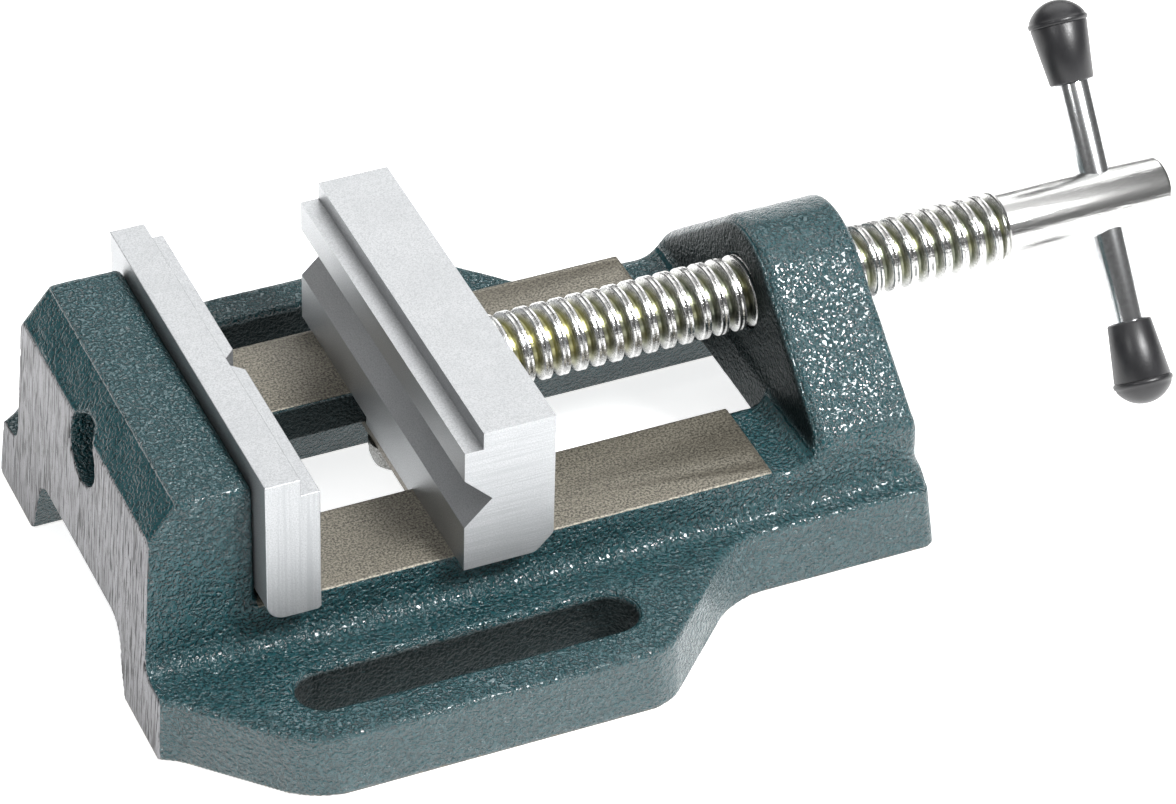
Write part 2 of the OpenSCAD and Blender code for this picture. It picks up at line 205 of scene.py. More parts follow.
def casting(x, y, z):
    """Signed distance to the casting, close to exact near its skin."""
    side = np.abs(y)
    solid = join(flange(x, side, z), join(jaw_block(x, side, z), body(x, side, z), 1.5), WALL_FILLET)
    half, draft, ceiling, corner = CHANNEL
    wall = (side - half + draft * z) / math.hypot(1, draft)
    solid = edge(solid, -edge(wall, z - ceiling, corner), 0.8)
    start, stop, half = WINDOW
    solid = edge(solid, -edge(np.maximum(start - x, x - stop), side - half, 2.5), 0.4)
    slot_end = np.maximum(np.abs(x - SLOT_MID_X) - SLOT_REACH, 0)
    solid = edge(solid, SLOT_R - np.hypot(slot_end, side - SLOT_Y), 1.2)
    hole_z, hole_r = END_HOLE
    hole = np.maximum(np.hypot(side, z - hole_z) - hole_r, x - SEAT_X)
    solid = edge(solid, -hole, 0.3)
    bore = np.maximum(np.hypot(side, z - SPINDLE_Z) - BORE_R, stop - 1 - x)
    solid = edge(solid, -bore, 0.8)
    tapped = np.hypot(side - SCREW_Y, z - SCREW_Z) - SCREW_R
    tapped = np.maximum(tapped, np.maximum(10 - x, x - SEAT_X - 1))
    solid = np.maximum(solid, -tapped)
    solid = edge(solid, -z, 0.35)
    return edge(solid, (END_LEAN * z - x) / math.hypot(1, END_LEAN), 0.22)


def surface_net(distance, lo, hi, step):
    """A quad mesh of a distance field's zero surface, one point per cell that it crosses."""
    axes = [np.arange(a - 2 * step, b + 2 * step, step) for a, b in zip(lo, hi)]
    values = np.concatenate([
        distance(part[:, None, None], axes[1][None, :, None], axes[2][None, None, :])
        for part in np.array_split(axes[0], 12)
    ]).astype(np.float32)
    inside = values < 0
    corners = [(i, j, k) for i in (0, 1) for j in (0, 1) for k in (0, 1)]
    shape = tuple(n - 1 for n in values.shape)
    count = np.zeros(shape, np.int8)
    for i, j, k in corners:
        count += inside[i:i + shape[0], j:j + shape[1], k:k + shape[2]]
    cells = np.argwhere((count > 0) & (count < 8))
    total = np.zeros((len(cells), 3))
    crossings = np.zeros(len(cells))
    for first in corners:
        for axis in range(3):
            if first[axis]:
                continue
            second = tuple(c + (n == axis) for n, c in enumerate(first))
            a = values[tuple((cells + first).T)]
            b = values[tuple((cells + second).T)]
            crossed = (a < 0) != (b < 0)
            place = np.tile(np.array(first, float), (len(cells), 1))
            place[:, axis] = np.where(crossed, a / np.where(crossed, a - b, 1), 0)
            total += place * crossed[:, None]
            crossings += crossed
    points = cells + total / crossings[:, None]
    start = np.array([a[0] for a in axes])
    points = start + points * step
    index = np.full(shape, -1, np.int64)
    index[tuple(cells.T)] = np.arange(len(cells))
    quads = []
    for axis in range(3):
        u, v = [n for n in range(3) if n != axis]
        near = [slice(1, -1)] * 3
        near[axis] = slice(0, -1)
        far = [slice(1, -1)] * 3
        far[axis] = slice(1, None)
        a, b = inside[tuple(near)], inside[tuple(far)]
        crossed = np.argwhere(a != b)
        leaving = a[tuple(crossed.T)]
        base = crossed + 1
        base[:, axis] -= 1
        ring = []
        for du, dv in ((0, 0), (1, 0), (1, 1), (0, 1)):
            cell = base.copy()
            cell[:, u] -= du
            cell[:, v] -= dv
            ring.append(index[tuple(cell.T)])
        ring = np.stack(ring, 1)
        flip = leaving == (axis == 1)
        ring[flip] = ring[flip][:, ::-1]
        quads.append(ring)
    return points, np.concatenate(quads)


def gradient(distance, points, step=0.02):
    """Outward direction of a distance field at each point."""
    slopes = []
    for axis in range(3):
        shift = np.zeros(3)
        shift[axis] = step
        ahead, behind = (points + shift).T, (points - shift).T
        slopes.append((distance(*ahead) - distance(*behind)) / (2 * step))
    return np.stack(slopes, 1)


def pull_to_surface(distance, points, rounds=3):
    """Moves points along the gradient until they lie on the surface."""
    for _ in range(rounds):
        slopes = gradient(distance, points)
        length = np.maximum((slopes**2).sum(1), 0.25)
        shift = slopes * (distance(*points.T) / length)[:, None]
        reach = np.linalg.norm(shift, axis=1, keepdims=True)
        points = points - shift * np.minimum(1, 0.4 / np.maximum(reach, 1e-9))
    return points


def cast_waves(points):
    """How far the sand mould's unevenness moves each raw point, in millimetres."""
    x, side, z = points[:, 0], np.abs(points[:, 1]), points[:, 2]
    milled = (x - END_LEAN * z < 0.6) | (z < 0.6)
    ground = (z > RAIL_Z - 0.6) & (z < RAIL_Z + 0.1) & (x > SEAT_X) & (x < PAD_END + 0.6)
    guides = (side < 26) & (z > 11) & (z < RAIL_Z) & (x > WINDOW[0] - 2) & (x < PAD_END)
    raw = ~(milled | ground | guides)
    hole_z, hole_r = END_HOLE
    in_hole = (np.hypot(points[:, 1], z - hole_z) < hole_r + 0.3) & (x < SEAT_X)
    waves = np.zeros(len(points))
    for n in np.flatnonzero(raw):
        p = Vector(points[n])
        waves[n] = sum(height * noise.noise(p * rate) for height, rate in CAST_WAVES)
    for n in np.flatnonzero(in_hole):
        waves[n] += HOLE_WAVE[0] * noise.noise(Vector(points[n]) * HOLE_WAVE[1])
    return waves


def make_casting(material):
    """The distance field turned into the casting's mesh, thinned and kept inside the CAD box."""
    lo = (0, -FLANGE_HALF, 0)
    hi = (BASE_L, FLANGE_HALF, SPINDLE_Z + DOME_R)
    points, quads = surface_net(casting, lo, hi, NET_STEP)
    points = pull_to_surface(casting, points)
    slopes = gradient(casting, points)
    slopes /= np.maximum(np.linalg.norm(slopes, axis=1, keepdims=True), 1e-9)
    points = points + slopes * cast_waves(points)[:, None]
    points[:, 0] = np.clip(points[:, 0], 0, BASE_L - 0.01) + END_X
    points[:, 1] = np.clip(points[:, 1], 0.01 - FLANGE_HALF, FLANGE_HALF - 0.01)
    points[:, 2] = np.maximum(points[:, 2], 0)
    piece = add_mesh("casting", points, quads.tolist(), "base", material)
    thin = piece.modifiers.new("thin", "DECIMATE")
    thin.ratio = FACES_KEPT
    apply_modifiers(piece)
    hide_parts("base_casting")


# ---- materials ----

class Graph:
    """A short way to write a material's nodes. Lengths are millimetres in the piece's own frame."""

    def __init__(self, name):
        self.material = bpy.data.materials.new(name)
        self.material.use_nodes = True
        self.tree = self.material.node_tree
        self.tree.nodes.clear()
        out = self.tree.nodes.new("ShaderNodeOutputMaterial")
        self.shader = self.tree.nodes.new("ShaderNodeBsdfPrincipled")
        self.tree.links.new(self.shader.outputs[0], out.inputs["Surface"])
        place = self.tree.nodes.new("ShaderNodeTexCoord").outputs["Object"]
        self.mm = self.scaled(place, (1000, 1000, 1000))

    def node(self, kind, settings=None, **inputs):
        made = self.tree.nodes.new(kind)
        for key, value in (settings or {}).items():
            setattr(made, key, value)
        for key, value in inputs.items():
            self.feed(made.inputs[key.replace("_", " ")], value)
        return made

    def feed(self, socket, value):
        if isinstance(value, bpy.types.NodeSocket):
            self.tree.links.new(value, socket)
        else:
            socket.default_value = value

    def scaled(self, vector, factors):
        made = self.node("ShaderNodeVectorMath", {"operation": "MULTIPLY"})
        self.feed(made.inputs[0], vector)
        made.inputs[1].default_value = factors
        return made.outputs[0]

    def noise(self, size, detail=2.0, rough=0.5, stretch=(1, 1, 1), twist=0.0):
        """Noise whose lumps are about size millimetres across."""
        made = self.node("ShaderNodeTexNoise", Scale=1.0, Detail=detail, Roughness=rough, Distortion=twist)
        factors = [1 / (size * s) for s in stretch]
        self.feed(made.inputs["Vector"], self.scaled(self.mm, factors))
        return made.outputs["Fac"]

    def math(self, operation, a, b=0.0, clamp=False):
        made = self.node("ShaderNodeMath", {"operation": operation, "use_clamp": clamp})
        self.feed(made.inputs[0], a)
        self.feed(made.inputs[1], b)
        return made.outputs[0]

    def ramp(self, value, low, high, out_low=0.0, out_high=1.0):
        """Smooth step from out_low at low to out_high at high."""
        made = self.node("ShaderNodeMapRange", {"interpolation_type": "SMOOTHSTEP"})
        for socket, number in zip(made.inputs, (value, low, high, out_low, out_high)):
            self.feed(socket, number)
        return made.outputs[0]

    def mix(self, factor, a, b):
        made = self.node("ShaderNodeMix", {"data_type": "RGBA"})
        self.feed(made.inputs[0], factor)
        self.feed(made.inputs[6], a)
        self.feed(made.inputs[7], b)
        return made.outputs[2]

    def blend(self, factor, a, b):
        made = self.node("ShaderNodeMix", {"data_type": "FLOAT"})
        self.feed(made.inputs[0], factor)
        self.feed(made.inputs[2], a)
        self.feed(made.inputs[3], b)
        return made.outputs[0]

    def bump(self, height, depth):
        """A surface direction tilted by the height's slope. Depth is in millimetres."""
        made = self.node("ShaderNodeBump", Strength=1.0, Distance=depth * MM, Height=height)
        return made.outputs[0]

    def axes(self):
        """The point's x, y and z in millimetres."""
        made = self.node("ShaderNodeSeparateXYZ", Vector=self.mm)
        return made.outputs[0], made.outputs[1], made.outputs[2]

    def facing(self):
        """The surface direction's x, y and z."""
        made = self.node("ShaderNodeTexCoord")
        split = self.node("ShaderNodeSeparateXYZ", Vector=made.outputs["Normal"])
        return split.outputs[0], split.outputs[1], split.outputs[2]

    def finish(self, **inputs):
        for key, value in inputs.items():
            self.feed(self.shader.inputs[key.replace("_", " ")], value)
        return self.material


def rgb(r, g, b):
    return (r, g, b, 1.0)


def enamel_casting():
    """Hammered petrol enamel, with painted shade in the hammer dimples and near-black painted shade in the
    window, slots and bracket face, and bare milled iron on the end face, slideways and underside.
    """
    g = Graph("hammered_enamel")
    x, y, z = g.axes()
    nx, _, nz = g.facing()

    lumps = g.noise(0.78, 2.0, 0.5, twist=0.4)
    large = g.noise(2.2, 1.0)
    broad = g.noise(9.0, 2.0)
    teal = g.mix(broad, rgb(0.007, 0.040, 0.047), rgb(0.011, 0.054, 0.062))
    # Painted shade: the lumps' low parts are coloured darker, standing for the shade in the hammer dimples.
    enamel = g.mix(g.ramp(lumps, 0.30, 0.55), rgb(0.004, 0.024, 0.028), teal)
    side = g.math("ABSOLUTE", y)
    # Painted shade: the window walls, the slot walls and the bracket's inner face are coloured near black,
    # standing for the shade inside them.
    in_window = g.math("MULTIPLY", g.ramp(side, WINDOW[2] + 0.2, WINDOW[2] + 0.6, 1.0, 0.0),
                       g.ramp(z, RAIL_Z - 1.2, RAIL_Z - 0.5, 1.0, 0.0))
    bracket_face = g.math("MULTIPLY", g.ramp(nx, -0.97, -0.8, 1.0, 0.0),
                          g.ramp(x, BRACKET_X + END_X - 2, BRACKET_X + END_X - 1))
    slot_end = SLOT_REACH + SLOT_R
    from_slot = g.math("ABSOLUTE", g.math("SUBTRACT", side, SLOT_Y))
    in_slot = g.math("MULTIPLY", g.ramp(from_slot, SLOT_R + 0.1, SLOT_R + 0.6, 1.0, 0.0),
                     g.ramp(g.math("ABSOLUTE", x), slot_end + 0.05, slot_end + 0.55, 1.0, 0.0))
    in_slot = g.math("MULTIPLY", in_slot, g.ramp(z, FLANGE_T - 2.2, FLANGE_T - 1.0, 1.0, 0.0))
    painted_recess_shade = g.math("MAXIMUM", g.math("MAXIMUM", in_window, in_slot), bracket_face)
    enamel = g.mix(painted_recess_shade, enamel, rgb(0.010, 0.018, 0.019))

    chips = g.ramp(g.noise(1.3, 2.0), 0.56, 0.66)
    from_end = g.math("SUBTRACT", x, g.math("MULTIPLY", z, END_LEAN))
    from_end = g.math("SUBTRACT", from_end, g.math("MULTIPLY", chips, 0.15))
    end_face = g.ramp(from_end, END_X + 0.20, END_X + 0.32, 1.0, 0.0)
    past_seat = g.ramp(x, SEAT_X + END_X, SEAT_X + END_X + 0.1)
    on_top = g.math("MULTIPLY", g.ramp(z, RAIL_Z - 0.35, RAIL_Z - 0.2), past_seat)
    level = g.math("MULTIPLY", on_top, g.ramp(z, RAIL_Z + 0.2, RAIL_Z + 0.4, 1.0, 0.0))
    level = g.math("MULTIPLY", level, g.ramp(x, PAD_END + END_X + 0.1, PAD_END + END_X + 0.3, 1.0, 0.0))
    under = g.ramp(g.math("SUBTRACT", z, g.math("MULTIPLY", chips, 0.3)), 0.2, 0.35, 1.0, 0.0)

    stripes = g.noise(0.55, 2.0, 0.6, stretch=(1, 1, 30))
    bands = g.noise(1.8, 2.0, 0.5, stretch=(1, 1, 18))
    specks = g.noise(0.48, 2.0, 0.65)
    milled = g.mix(g.ramp(stripes, 0.40, 0.50), rgb(0.012, 0.012, 0.012), rgb(0.24, 0.24, 0.25))
    milled = g.mix(g.ramp(bands, 0.35, 0.65, 0.0, 0.45), milled, rgb(0.13, 0.13, 0.135))
    milled = g.mix(g.ramp(specks, 0.30, 0.40, 0.8, 0.0), milled, rgb(0.05, 0.05, 0.05))
    fleck = g.ramp(specks, 0.34, 0.66)
    ground = g.mix(fleck, rgb(0.045, 0.041, 0.032), rgb(0.23, 0.213, 0.170))
    smear = g.noise(3.0, 3.0, 0.6, stretch=(6, 1, 1))
    ground = g.mix(g.ramp(smear, 0.4, 0.7, 0.0, 0.25), ground, rgb(0.15, 0.135, 0.105))

    colour = g.mix(end_face, enamel, milled)
    flat = g.math("MAXIMUM", level, under)
    colour = g.mix(flat, colour, ground)
    bare = g.math("MAXIMUM", end_face, flat)

    relief = g.math("ADD", g.ramp(lumps, 0.30, 0.66), g.math("MULTIPLY", large, 0.3))
    ground_off = g.math("MULTIPLY", g.ramp(nx, -0.72, -0.60, 1.0, 0.0), g.ramp(nz, 0.5, 0.6))
    smooth = g.math("SUBTRACT", 1.0, g.math("MULTIPLY", ground_off, 0.9))
    hammered = g.bump(g.math("MULTIPLY", relief, smooth), 0.36)
    turned = g.bump(g.math("ADD", stripes, g.math("MULTIPLY", specks, 0.5)), 0.14)
    fine = g.bump(specks, 0.09)
    normal = g.node("ShaderNodeMix", {"data_type": "VECTOR"})
    g.feed(normal.inputs[0], end_face)
    g.feed(normal.inputs[4], hammered)
    g.feed(normal.inputs[5], turned)
    second = g.node("ShaderNodeMix", {"data_type": "VECTOR"})
    g.feed(second.inputs[0], flat)
    g.feed(second.inputs[4], normal.outputs[1])
    g.feed(second.inputs[5], fine)
    bare_metal = g.blend(flat, g.math("MULTIPLY", end_face, 0.9), 0.5)
    return g.finish(
        Base_Color=colour,
        # the painted shade is also made a dark metallic mirror, so it reflects almost nothing
        Metallic=g.math("MAXIMUM", bare_metal, g.math("MULTIPLY", painted_recess_shade, 0.92)),
        Roughness=g.blend(bare, g.blend(painted_recess_shade, 0.19, 0.45), 0.48),
        IOR=1.65,
        Normal=second.outputs[1],
    )


def steel(name, bright, dark, rough, grain=0.45, depth=0.03, lines=None, line_axis=0):
    """Ground or plated steel. Lines is the size of the tool marks on the faces that look along y."""
    g = Graph(name)
    specks = g.noise(grain, 3.0, 0.65)
    clouds = g.noise(7.0, 3.0)
    tone = g.mix(g.ramp(specks, 0.32, 0.62), rgb(*dark), rgb(*bright))
    tone = g.mix(g.ramp(clouds, 0.35, 0.7, 0.0, 0.22), tone, rgb(*dark))
    height = specks
    if lines is not None:
        stretch = [1, 1, 1]
        stretch[line_axis] = 50
        marks = g.noise(lines, 3.0, 0.65, stretch=stretch)
        across = g.ramp(g.math("ABSOLUTE", g.facing()[1]), 0.9, 0.97)
        tone = g.mix(g.math("MULTIPLY", across, g.ramp(marks, 0.35, 0.6, 0.7, 0.0)), tone, rgb(*dark))
        height = g.blend(across, specks, g.math("ADD", marks, g.math("MULTIPLY", specks, 0.2)))
    return g.finish(
        Base_Color=tone,
        Metallic=1.0,
        Roughness=g.blend(specks, rough + 0.06, rough - 0.06),
        Normal=g.bump(height, depth),
    )


def thread_plating():
    """Bright zinc on the crests, with a yellow-olive stain down in the thread, darkened there as painted
    shade.
    """
    g = Graph("thread_zinc")
    x, y, z = g.axes()
    height = g.math("SUBTRACT", z, SPINDLE_Z)
    reach = g.math("SQRT", g.math("ADD", g.math("MULTIPLY", y, y), g.math("MULTIPLY", height, height)))
    on_thread = g.ramp(x, THREAD_END + END_X - 1.0, THREAD_END + END_X - 0.2, 1.0, 0.0)
    low = g.math("MULTIPLY", on_thread, g.ramp(reach, THREAD_R - 2.2, THREAD_R - 0.4, 1.0, 0.0))
    specks = g.noise(0.7, 3.0, 0.65, twist=0.5)
    streaks = g.noise(0.8, 3.0, 0.6, stretch=(8, 1, 1))
    bright = g.mix(g.ramp(specks, 0.35, 0.6), rgb(0.48, 0.48, 0.47), rgb(0.68, 0.68, 0.67))
    bright = g.mix(g.ramp(streaks, 0.45, 0.7, 0.0, 0.4), bright, rgb(0.38, 0.38, 0.37))
    bright = g.mix(on_thread, rgb(0.66, 0.66, 0.65), bright)
    # The thread roots carry a real yellow-olive stain, coloured darker than the stain alone as painted
    # shade down in the thread.
    stain_and_root_shade = g.mix(g.noise(2.0, 2.0), rgb(0.045, 0.052, 0.034), rgb(0.27, 0.29, 0.21))
    fresh = g.math("ADD", g.ramp(x, 20, 75, 1.0, 0.15), g.ramp(g.noise(5.0, 2.0), 0.4, 0.7, -0.2, 0.2))
    stain_and_root_shade = g.mix(g.math("MULTIPLY", fresh, 0.7, True), stain_and_root_shade, rgb(0.42, 0.39, 0.14))
    return g.finish(
        Base_Color=g.mix(g.math("MULTIPLY", low, 0.92), bright, stain_and_root_shade),
        Metallic=1.0,
        Roughness=g.blend(on_thread, 0.22, g.blend(low, 0.20, 0.34)),
        Normal=g.bump(g.math("ADD", g.math("MULTIPLY", specks, on_thread), streaks), 0.07),
    )


def rubber():
    """Satin black soft plastic with a fine grain."""
    g = Graph("black_rubber")
    grain = g.noise(0.35, 2.0)
    clouds = g.noise(4.0, 2.0)
    return g.finish(
        Base_Color=g.mix(clouds, rgb(0.008, 0.008, 0.009), rgb(0.018, 0.018, 0.020)),
        Roughness=g.blend(grain, 0.30, 0.45),
        Normal=g.bump(grain, 0.02),
    )


# ---- pieces taken from the CAD shape, with their edges broken ----

def body_of_node(node_name):
    for body_name, members in frame["record"]["behaviour"]["bodies"].items():
        if node_name in members:
            return body_name
    raise KeyError(node_name)


def break_edges(node_name, material, width=0.3, segments=2, angle=30):
    """A copy of a CAD node with its seams welded, its faces merged and its edges bevelled."""
    mesh = frame["nodes"][node_name].data.copy()
    shape = bmesh.new()
    shape.from_mesh(mesh)
    bmesh.ops.remove_doubles(shape, verts=shape.verts, dist=1e-6)
    bmesh.ops.dissolve_limit(
        shape, angle_limit=math.radians(1), verts=shape.verts, edges=shape.edges
    )
    shape.to_mesh(mesh)
    shape.free()
    piece = finish_piece(
        node_name + "_shape", mesh, body_of_node(node_name), material
    )
    bevel = piece.modifiers.new("bevel", "BEVEL")
    bevel.width = width * MM
    bevel.segments = segments
    bevel.limit_method = "ANGLE"
    bevel.angle_limit = math.radians(angle)
    level = piece.modifiers.new("level", "WEIGHTED_NORMAL")
    level.weight = 90
    apply_modifiers(piece)
    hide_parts(node_name)


# ---- turned pieces ----

def lathe_mesh(outline, place, turns):
    """A solid of revolution from (radius, distance) points, both ends on the axis."""
    verts, faces = [], []
    inner = outline[1:-1]
    for n in range(turns):
        a = 2 * math.pi * n / turns
        verts += [(r * math.cos(a), r * math.sin(a), h) for r, h in inner]
    verts += [(0, 0, outline[0][1]), (0, 0, outline[-1][1])]
    count = len(inner)
    low, high = len(verts) - 2, len(verts) - 1
    for n in range(turns):
        here, there = n * count, (n + 1) % turns * count
        faces.append((low, there, here))
        faces.append((high, here + count - 1, there + count - 1))
        for m in range(count - 1):
            faces.append((here + m, there + m, there + m + 1, here + m + 1))
    mesh = bpy.data.meshes.new("turned")
    mesh.from_pydata(verts, [], faces)
    mesh.transform(place)
    return mesh


def turned_piece(name, node_name, mesh, material, sharp):
    """Takes a node's place with a new mesh. Edges over sharp degrees stay sharp."""
    piece = finish_piece(
        name, mesh, body_of_node(node_name), material, MM
    )
    piece.data.set_sharp_from_angle(angle=math.radians(sharp))
    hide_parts(node_name)


def along_spindle():
    """From turned outlines, whose distance counts from the left end face, to the spindle."""
    return Matrix.Translation((END_X, 0, SPINDLE_Z)) @ Matrix.Rotation(math.pi / 2, 4, "Y")


def along_bar():
    """From turned outlines, counted from the bar's middle, to the bar."""
    lo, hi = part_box("tbar")
    axis = next(j["axis"] for j in frame["record"]["behaviour"]["joints"] if j["name"] == "tbar_slide")
    turn = Vector((0, 0, 1)).rotation_difference(Vector(axis)).to_matrix().to_4x4()
    return Matrix.Translation((lo + hi) / 2 / MM) @ turn


def combine(mesh, other, operation):
    """The boolean of two closed meshes, as a new mesh."""
    pair = []
    for part in (mesh, other):
        part.update()
        carrier = bpy.data.objects.new("carrier", part)
        bpy.context.scene.collection.objects.link(carrier)
        pair.append(carrier)
    cut = pair[0].modifiers.new("cut", "BOOLEAN")
    cut.operation = operation
    cut.object = pair[1]
    cut.solver = "MANIFOLD"
    depsgraph = bpy.context.evaluated_depsgraph_get()
    done = bpy.data.meshes.new_from_object(pair[0].evaluated_get(depsgraph), depsgraph=depsgraph)
    for carrier in pair:
        bpy.data.objects.remove(carrier)
    return done


PITCH = 4.0
THREAD_END = 208.7
SHOULDER = MOVING_BACK + 2.1
ROOT_R = THREAD_R - 2.25
THREAD_PHASE = 0.65
# (distance, height over the root) over one pitch: flanks, rounded crest and its rolled seam
THREAD_FORM = (
    (0.00, 0.00), (0.34, 0.04), (0.60, 0.35), (0.97, 1.75), (1.08, 2.05), (1.27, 2.22),
    (1.70, 2.21), (1.88, 2.09), (2.00, 2.03), (2.12, 2.09), (2.30, 2.21),
    (2.73, 2.22), (2.92, 2.05), (3.03, 1.75), (3.40, 0.35), (3.66, 0.04),
)
HEAD_R = 7.1
NOSE_R = 5.5
# the retaining pins' groove: radius, start, stop
GROOVE = (3.75, MOVING_BACK - 7.2, MOVING_BACK - 2.8)
BAR_R = 3.75
BAR_X = 233.6
BAR_HALF = 41.0
NOSE_END = MOVING_BACK - 9.8
GRUB_BORE_R = 2.5


def helix_mesh(start, stop, steps=84):
    """One continuous right-hand screw thread, closed by a fan at each end."""
    turns = math.ceil((stop - start) / PITCH) + 1
    count = len(THREAD_FORM)
    rows = turns * count
    verts = []
    for m in range(rows + 1):
        offset, height = THREAD_FORM[m % count]
        for n in range(steps):
            angle = 2 * math.pi * n / steps
            r = ROOT_R + height
            x = start + PITCH * (m // count + n / steps) + offset
            verts.append((x, r * math.cos(angle), r * math.sin(angle)))

    def at(m, n):
        return m * steps + n

    faces = []
    for m in range(rows):
        for n in range(steps - 1):
            faces.append((at(m, n), at(m, n + 1), at(m + 1, n + 1), at(m + 1, n)))
        if m + count < rows:
            seam = (at(m, steps - 1), at(m + count, 0), at(m + count + 1, 0), at(m + 1, steps - 1))
            faces.append(seam)
    first = [at(0, n) for n in range(steps)] + [at(m, 0) for m in range(count, 0, -1)]
    last = [at(rows, n) for n in range(steps)]
    last += [at(m, steps - 1) for m in range(rows - 1, rows - count - 1, -1)]
    verts.append((start, 0, 0))
    verts.append((start + PITCH * turns + PITCH, 0, 0))
    for ring, tip in ((first, len(verts) - 2), (last, len(verts) - 1)):
        for n in range(len(ring)):
            faces.append((ring[n], ring[(n + 1) % len(ring)], tip))
    mesh = bpy.data.meshes.new("helix")
    mesh.from_pydata(verts, [], faces)
    even_normals(mesh)
    mesh.transform(Matrix.Translation((END_X, 0, SPINDLE_Z)))
    return mesh


def even_normals(mesh):
    """Turns every face outward."""
    shape = bmesh.new()
    shape.from_mesh(mesh)
    bmesh.ops.recalc_face_normals(shape, faces=shape.faces)
    shape.to_mesh(mesh)
    shape.free()


def turned_solid(outline, place, turns):
    """A lathed solid whose faces all point outward."""
    mesh = lathe_mesh(outline, place, turns)
    even_normals(mesh)
    return mesh


def make_spindle(material):
    """Nose, screw thread and drilled head in one."""
    place = along_spindle()
    thread = helix_mesh(SHOULDER - 2 * PITCH + THREAD_PHASE, THREAD_END + 2 * PITCH)
    blank = turned_solid([
        (0, SHOULDER), (ROOT_R, SHOULDER), (THREAD_R, SHOULDER + 1.6),
        (THREAD_R, THREAD_END - 1.0), (HEAD_R, THREAD_END), (0, THREAD_END),
    ], place, 96)
    groove_r, groove_start, groove_stop = GROOVE
    core = turned_solid([
        (0, NOSE_END), (NOSE_R - 0.5, NOSE_END), (NOSE_R, NOSE_END + 0.5),
        (NOSE_R, groove_start), (groove_r, groove_start), (groove_r, groove_stop),
        (NOSE_R, groove_stop), (NOSE_R, SHOULDER), (ROOT_R - 0.2, SHOULDER + 0.2),
        (ROOT_R - 0.2, THREAD_END - 2), (HEAD_R, THREAD_END - 1.2), (HEAD_R, HEAD_END - 1.3),
        (HEAD_R - 0.15, HEAD_END - 0.8), (HEAD_R - 0.5, HEAD_END - 0.35), (HEAD_R - 1.1, HEAD_END),
        (0, HEAD_END),
    ], place, 96)
    shape = combine(combine(thread, blank, "INTERSECT"), core, "UNION")
    reach = 2 * HEAD_R
    hole = turned_solid([
        (0, -reach), (BAR_R + 0.05, -reach), (BAR_R + 0.05, reach), (0, reach),
    ], along_bar(), 64)
    shape = combine(shape, hole, "DIFFERENCE")
    bore = turned_solid([
        (0, BAR_X), (GRUB_BORE_R, BAR_X), (GRUB_BORE_R, HEAD_END + 1), (0, HEAD_END + 1),
    ], place, 48)
    shape = combine(shape, bore, "DIFFERENCE")
    turned_piece("spindle_screw", "spindle", shape, material, 30)


def make_bar(material):
    """The chamfered T-bar."""
    half = BAR_HALF
    mesh = turned_solid([
        (0, -half), (BAR_R - 0.7, -half), (BAR_R - 0.2, 0.2 - half), (BAR_R, 0.7 - half),
        (BAR_R, half - 0.7), (BAR_R - 0.2, half - 0.2), (BAR_R - 0.7, half), (0, half),
    ], along_bar(), 64)
    turned_piece("bar", "tbar", mesh, material, 60)


CAP_INNER = 26.4
CAP_WIDE = 40.4
CAP_TIP = 44.48
# a cap's radius at its open end and at its rim
CAP_R = (4.85, 6.35)


def make_cap(node_name, end, material):
    """A tapered push-on cap with a beaded rim under a low dome."""
    r0, r1 = CAP_R
    outline = [(0, BAR_HALF), (BAR_R, BAR_HALF), (BAR_R, CAP_INNER)]
    outline += [(r0 - 0.3, CAP_INNER), (r0, CAP_INNER + 0.3)]
    rim = CAP_WIDE - 1.3
    outline += [(r1 - 0.12, rim - 0.25), (r1 - 0.22, rim - 0.05)]
    for n in range(7):
        a = math.pi * n / 6
        outline.append((r1 - 0.1 + 0.33 * math.sin(a), rim + 0.65 - 0.6 * math.cos(a)))
    rise = CAP_TIP - CAP_WIDE
    dome = (r1 * r1 + rise * rise) / (2 * rise)
    for n in range(1, 12):
        a = math.asin(r1 / dome) * (1 - n / 12)
        outline.append((dome * math.sin(a), CAP_TIP - dome + dome * math.cos(a)))
    outline.append((0, CAP_TIP))
    flip = Matrix.Rotation(0 if end > 0 else math.pi, 4, "X")
    mesh = turned_solid(outline, along_bar() @ flip, 64)
    turned_piece(node_name + "_shape", node_name, mesh, material, 50)


def make_spring(material):
    """The coil that presses the friction ball on the bar."""
    lo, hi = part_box("friction_spring")
    wire = 0.25
    coil_r = (hi.z - lo.z) / 2 / MM - wire
    start, stop = lo.x / MM + wire, hi.x / MM - wire
    turns, steps, ring = 3, 24, 8
    verts, faces = [], []
    total = turns * steps
    for n in range(total + 1):
        angle = 2 * math.pi * n / steps
        outward = Vector((0, math.cos(angle), math.sin(angle)))
        middle = outward * coil_r + Vector((start + (stop - start) * n / total, 0, 0))
        for k in range(ring):
            a = 2 * math.pi * k / ring
            point = middle + wire * (outward * math.cos(a) + Vector((1, 0, 0)) * math.sin(a))
            verts.append(point + Vector((0, 0, SPINDLE_Z)))
    for n in range(total):
        for k in range(ring):
            here, there = n * ring, (n + 1) * ring
            faces.append((here + k, here + (k + 1) % ring, there + (k + 1) % ring, there + k))
    faces.append(tuple(range(ring)))
    faces.append(tuple(total * ring + k for k in range(ring - 1, -1, -1)))
    mesh = bpy.data.meshes.new("coil")
    mesh.from_pydata(verts, [], faces)
    even_normals(mesh)
    turned_piece("spring_coil", "friction_spring", mesh, material, 50)


# ---- lights, floor and camera ----

def area_light(name, place, target, size, power, colour=(1, 1, 1)):
    data = bpy.data.lights.new(name, "AREA")
    data.shape = "RECTANGLE"
    data.size, data.size_y = size
    data.energy = power
    data.color = colour
    lamp = bpy.data.objects.new(name, data)
    lamp.location = place
    aim = Vector(target) - Vector(place)
    lamp.rotation_euler = aim.to_track_quat("-Z", "Y").to_euler()
    bpy.context.scene.collection.objects.link(lamp)


